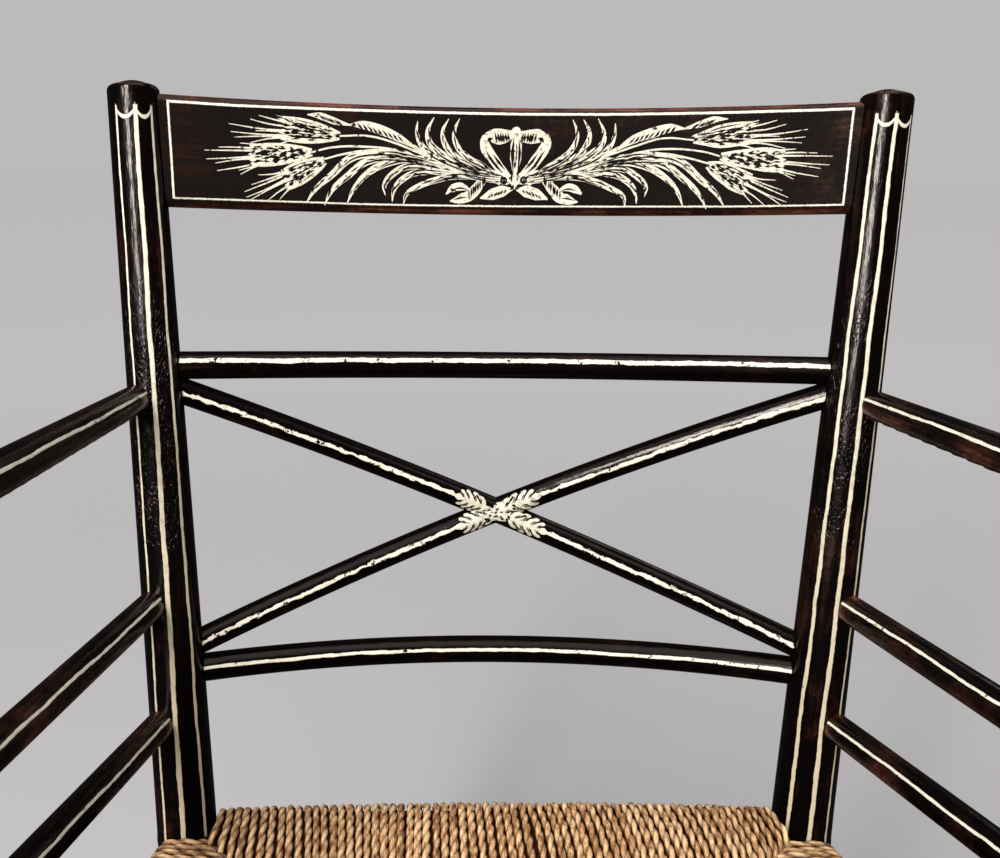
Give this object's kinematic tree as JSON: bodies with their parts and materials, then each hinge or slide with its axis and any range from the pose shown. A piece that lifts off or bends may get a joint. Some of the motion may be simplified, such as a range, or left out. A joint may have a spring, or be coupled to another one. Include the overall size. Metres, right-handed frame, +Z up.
{
  "type": "painted elbow chair",
  "caption": "Ebonised elbow chair with cream painted lining, a bowed tablet top rail, crossed braces in the back, turned front posts and a woven cord seat.",
  "frame": {"origin": "on the floor, under the middle of the chair's width and depth", "axes": "+Z up, +X to the right as seen from the front, +Y towards the back; the chair faces -Y"},
  "size_m": [0.5468, 0.5165, 0.8852],
  "materials": {
    "ebonised_wood": "black japanned wood, glossy and worn to red-brown at the edges, with cream lining",
    "seat_cord": "two-ply twisted seagrass cord",
    "cream_paint": "thin cream paint on the black ground"
  },
  "bodies": {
    "root": {"back_post_left": "ebonised_wood", "back_post_right": "ebonised_wood", "front_post_left": "ebonised_wood", "front_post_right": "ebonised_wood", "crest_tablet": "ebonised_wood", "upper_cross_rail": "ebonised_wood", "lower_cross_rail": "ebonised_wood", "brace_falling": "ebonised_wood", "brace_rising": "ebonised_wood", "arm_left": "ebonised_wood", "arm_right": "ebonised_wood", "upper_arm_rail_left": "ebonised_wood", "upper_arm_rail_right": "ebonised_wood", "lower_arm_rail_left": "ebonised_wood", "lower_arm_rail_right": "ebonised_wood", "seat_rail_front": "ebonised_wood", "seat_rail_back": "ebonised_wood", "seat_rail_left": "ebonised_wood", "seat_rail_right": "ebonised_wood", "woven_seat": "seat_cord", "front_stretcher_upper": "ebonised_wood", "front_stretcher_lower": "ebonised_wood", "left_stretcher_upper": "ebonised_wood", "left_stretcher_lower": "ebonised_wood", "right_stretcher_upper": "ebonised_wood", "right_stretcher_lower": "ebonised_wood", "back_stretcher": "ebonised_wood", "joint_pegs": "ebonised_wood"}
  },
  "joints": []
}
